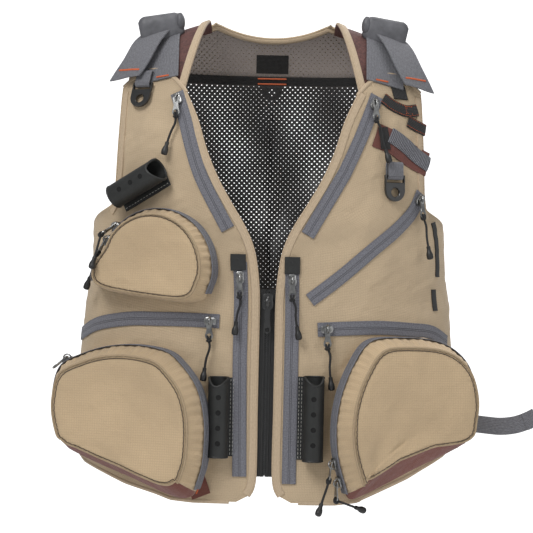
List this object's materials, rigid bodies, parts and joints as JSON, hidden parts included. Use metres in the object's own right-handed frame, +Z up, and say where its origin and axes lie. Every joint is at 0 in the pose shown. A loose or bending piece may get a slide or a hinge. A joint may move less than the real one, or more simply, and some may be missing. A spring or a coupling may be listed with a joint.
{
  "type": "fishing vest",
  "caption": "Sleeveless zip-front vest with a mesh back, padded lidded pockets, slanted zip pockets, tool tubes, D-rings, shoulder webbing and waist straps.",
  "frame": {"origin": "middle of the shoulder line, between the two shoulder yokes, where a wearer or a hanger carries the vest", "axes": "+Z up, -Y out of the front, +X to the wearer's left"},
  "size_m": [0.5535, 0.3061, 0.5493],
  "materials": {
    "shell_fabric": "woven ripstop, matt",
    "mesh": "open knitted mesh, matt",
    "accent_fabric": "plain weave, matt",
    "webbing": "woven webbing, matt",
    "zip_tape": "woven tape over a coil, matt",
    "front_zip": "moulded teeth on a woven tape",
    "lock_plastic": "moulded, fine grain",
    "ring_plastic": "moulded, slight sheen",
    "slider_metal": "nickel plated, worn bright",
    "black_metal": "black lacquer, satin",
    "cord": "braided",
    "tube_rubber": "smooth sheet rubber, matt"
  },
  "bodies": {
    "vest": {"right_front_panel": "shell_fabric", "left_front_panel": "shell_fabric", "back_panels": "shell_fabric", "back_mesh": "mesh", "edge_bindings": "shell_fabric", "shoulder_yokes": "accent_fabric", "shoulder_straps": "webbing", "strap_tails": "webbing", "strap_locks": "lock_plastic", "zip_tapes": "zip_tape", "front_zip": "front_zip", "right_pocket_base": "shell_fabric", "left_pocket_base": "shell_fabric", "upper_pocket_base": "shell_fabric", "tool_tubes": "tube_rubber", "chest_trim": "webbing", "side_straps": "webbing", "left_end_slider": "slider_metal"},
    "right_lid": {"right_pocket_lid": "shell_fabric"},
    "left_lid": {"left_pocket_lid": "shell_fabric"},
    "upper_lid": {"upper_pocket_lid": "shell_fabric", "upper_end_slider": "slider_metal"},
    "front_slider": {"front_slider": "black_metal"},
    "front_pull": {"front_pull": "black_metal"},
    "right_chest_slider": {"right_chest_slider": "slider_metal"},
    "left_chest_slider": {"left_chest_slider": "slider_metal"},
    "right_edge_slider": {"right_edge_slider": "slider_metal"},
    "left_edge_slider": {"left_edge_slider": "slider_metal"},
    "right_slash_slider": {"right_slash_slider": "slider_metal"},
    "left_slash_slider": {"left_slash_slider": "slider_metal"},
    "left_slant_slider": {"left_slant_slider": "slider_metal"},
    "right_chest_pull": {"right_chest_pull": "slider_metal", "right_chest_cord": "cord"},
    "left_chest_pull": {"left_chest_pull": "slider_metal", "left_chest_cord": "cord"},
    "right_edge_pull": {"right_edge_pull": "slider_metal", "right_edge_cord": "cord"},
    "left_edge_pull": {"left_edge_pull": "slider_metal", "left_edge_cord": "cord"},
    "right_slash_pull": {"right_slash_pull": "slider_metal", "right_slash_cord": "cord"},
    "left_slash_pull": {"left_slash_pull": "slider_metal", "left_slash_cord": "cord"},
    "left_slant_pull": {"left_slant_pull": "slider_metal", "left_slant_cord": "cord"},
    "right_pocket_slider": {"right_pocket_slider": "slider_metal"},
    "left_pocket_slider": {"left_pocket_slider": "slider_metal"},
    "upper_pocket_slider": {"upper_pocket_slider": "slider_metal"},
    "right_pocket_pull": {"right_pocket_pull": "slider_metal"},
    "left_pocket_pull": {"left_pocket_pull": "slider_metal", "left_pocket_cord": "cord"},
    "left_end_pull": {"left_end_pull": "slider_metal", "left_end_cord": "cord"},
    "upper_pocket_pull": {"upper_pocket_pull": "slider_metal", "upper_pocket_cord": "cord"},
    "upper_end_pull": {"upper_end_pull": "slider_metal", "upper_end_cord": "cord"},
    "right_d_ring": {"right_d_ring": "ring_plastic"},
    "left_d_ring": {"left_d_ring": "ring_plastic"},
    "rear_d_ring": {"rear_d_ring": "ring_plastic"}
  },
  "joints": [
    {"name": "front_slide", "type": "slide", "parent": "vest", "child": "front_slider", "axis": [0, 0, -1], "range_m": [0, 0.18]},
    {"name": "front_swing", "type": "hinge", "parent": "front_slider", "child": "front_pull", "pos_m": [0, -0.135, -0.322], "axis": [-1, 0, 0], "range_deg": [0, 150]},
    {"name": "right_chest_slide", "type": "slide", "parent": "vest", "child": "right_chest_slider", "axis": [0.2856, -0.3443, -0.8943], "range_m": [0, 0.0125]},
    {"name": "left_chest_slide", "type": "hinge", "parent": "vest", "child": "left_chest_slider", "pos_m": [-0.04864, 0.1423, -0.15174], "axis": [0.7867, 0.4256, -0.4471], "range_deg": [0, 19.41]},
    {"name": "right_edge_slide", "type": "slide", "parent": "vest", "child": "right_edge_slider", "axis": [0.0159, -0.0009, -0.9999], "range_m": [0, 0.204]},
    {"name": "left_edge_slide", "type": "slide", "parent": "vest", "child": "left_edge_slider", "axis": [0.0033, -0.0001, -1], "range_m": [0, 0.207]},
    {"name": "right_slash_slide", "type": "slide", "parent": "vest", "child": "right_slash_slider", "axis": [-0.9912, 0.1228, 0.0496], "range_m": [0, 0.0041]},
    {"name": "left_slash_slide", "type": "slide", "parent": "vest", "child": "left_slash_slider", "axis": [0.9887, 0.1303, 0.0739], "range_m": [0, 0.0041]},
    {"name": "left_slant_slide", "type": "hinge", "parent": "vest", "child": "left_slant_slider", "pos_m": [0.02892, -0.08182, -0.14028], "axis": [-0.1398, 0.9165, -0.3747], "range_deg": [0, 23.76]},
    {"name": "right_chest_swing", "type": "hinge", "parent": "right_chest_slider", "child": "right_chest_pull", "pos_m": [-0.10512, -0.11205, -0.09941], "axis": [-0.9442, 0.3231, -0.0638], "range_deg": [0, 150]},
    {"name": "left_chest_swing", "type": "hinge", "parent": "left_chest_slider", "child": "left_chest_pull", "pos_m": [0.11495, -0.10857, -0.10043], "axis": [-0.931, -0.3581, 0.0705], "range_deg": [0, 150]},
    {"name": "right_edge_swing", "type": "hinge", "parent": "right_edge_slider", "child": "right_edge_pull", "pos_m": [-0.03093, -0.13692, -0.29599], "axis": [-0.999, 0.0452, -0.0007], "range_deg": [0, 150]},
    {"name": "left_edge_swing", "type": "hinge", "parent": "left_edge_slider", "child": "left_edge_pull", "pos_m": [0.02665, -0.13709, -0.298], "axis": [-0.9993, -0.0366, 0.0005], "range_deg": [0, 150]},
    {"name": "right_slash_swing", "type": "hinge", "parent": "right_slash_slider", "child": "right_slash_pull", "pos_m": [-0.06311, -0.13444, -0.34397], "axis": [-0.9931, 0.1172, -0.0015], "range_deg": [0, 75]},
    {"name": "left_slash_swing", "type": "hinge", "parent": "left_slash_slider", "child": "left_slash_pull", "pos_m": [0.06618, -0.13409, -0.35036], "axis": [-0.9922, -0.1246, 0.0014], "range_deg": [0, 150]},
    {"name": "left_slant_swing", "type": "hinge", "parent": "left_slant_slider", "child": "left_slant_pull", "pos_m": [0.16882, -0.09138, -0.20582], "axis": [-0.7464, -0.6649, 0.0275], "range_deg": [0, 150]},
    {"name": "right_lid_open", "type": "hinge", "parent": "vest", "child": "right_lid", "pos_m": [-0.16705, -0.10992, -0.51091], "axis": [0.8755, -0.3361, -0.3471], "range_deg": [0, 70]},
    {"name": "left_lid_open", "type": "hinge", "parent": "vest", "child": "left_lid", "pos_m": [0.172, -0.11195, -0.50062], "axis": [0.8463, 0.3249, 0.4221], "range_deg": [0, 70]},
    {"name": "upper_lid_open", "type": "hinge", "parent": "vest", "child": "upper_lid", "pos_m": [-0.12899, -0.11347, -0.32133], "axis": [0.9286, -0.3565, -0.1029], "range_deg": [0, 70]},
    {"name": "right_pocket_slide", "type": "hinge", "parent": "right_lid", "child": "right_pocket_slider", "pos_m": [-0.146, -0.118, -0.524], "axis": [0.3584, 0.9336, 0], "range_deg": [0, 43]},
    {"name": "left_pocket_slide", "type": "hinge", "parent": "vest", "child": "left_pocket_slider", "pos_m": [0.21255, -0.09639, -0.46], "axis": [-0.3584, 0.9336, 0], "range_deg": [0, 37.5]},
    {"name": "upper_pocket_slide", "type": "hinge", "parent": "upper_lid", "child": "upper_pocket_slider", "pos_m": [-0.11996, -0.11693, -0.288], "axis": [0.3584, 0.9336, 0], "range_deg": [0, 31]},
    {"name": "right_pocket_swing", "type": "hinge", "parent": "right_pocket_slider", "child": "right_pocket_pull", "pos_m": [-0.22212, -0.08878, -0.38831], "axis": [0.2737, 0.9603, -0.0532], "range_deg": [0, 90]},
    {"name": "left_pocket_swing", "type": "hinge", "parent": "left_pocket_slider", "child": "left_pocket_pull", "pos_m": [0.07248, -0.15016, -0.49602], "axis": [-0.232, 0.8809, -0.4126], "range_deg": [0, 75]},
    {"name": "left_end_swing", "type": "hinge", "parent": "vest", "child": "left_end_pull", "pos_m": [0.07843, -0.14787, -0.5163], "axis": [-0.3862, 0.919, 0.0797], "range_deg": [0, 90]},
    {"name": "upper_pocket_swing", "type": "hinge", "parent": "upper_pocket_slider", "child": "upper_pocket_pull", "pos_m": [-0.1709, -0.09738, -0.24057], "axis": [-0.0676, 0.8947, -0.4415], "range_deg": [0, 60]},
    {"name": "upper_end_swing", "type": "hinge", "parent": "upper_lid", "child": "upper_end_pull", "pos_m": [-0.18063, -0.09365, -0.25631], "axis": [0.4046, 0.9082, 0.107], "range_deg": [0, 90]},
    {"name": "right_d_ring_swing", "type": "hinge", "parent": "vest", "child": "right_d_ring", "pos_m": [-0.14314, -0.08483, -0.08272], "axis": [-0.8621, 0.5068, 0], "range_deg": [0, 50]},
    {"name": "left_d_ring_swing", "type": "hinge", "parent": "vest", "child": "left_d_ring", "pos_m": [0.13706, -0.10847, -0.18065], "axis": [-0.886, -0.4637, 0], "range_deg": [0, 115]},
    {"name": "rear_d_ring_swing", "type": "hinge", "parent": "vest", "child": "rear_d_ring", "pos_m": [0, 0.10217, -0.05842], "axis": [1, 0, 0], "range_deg": [0, 115]}
  ]
}
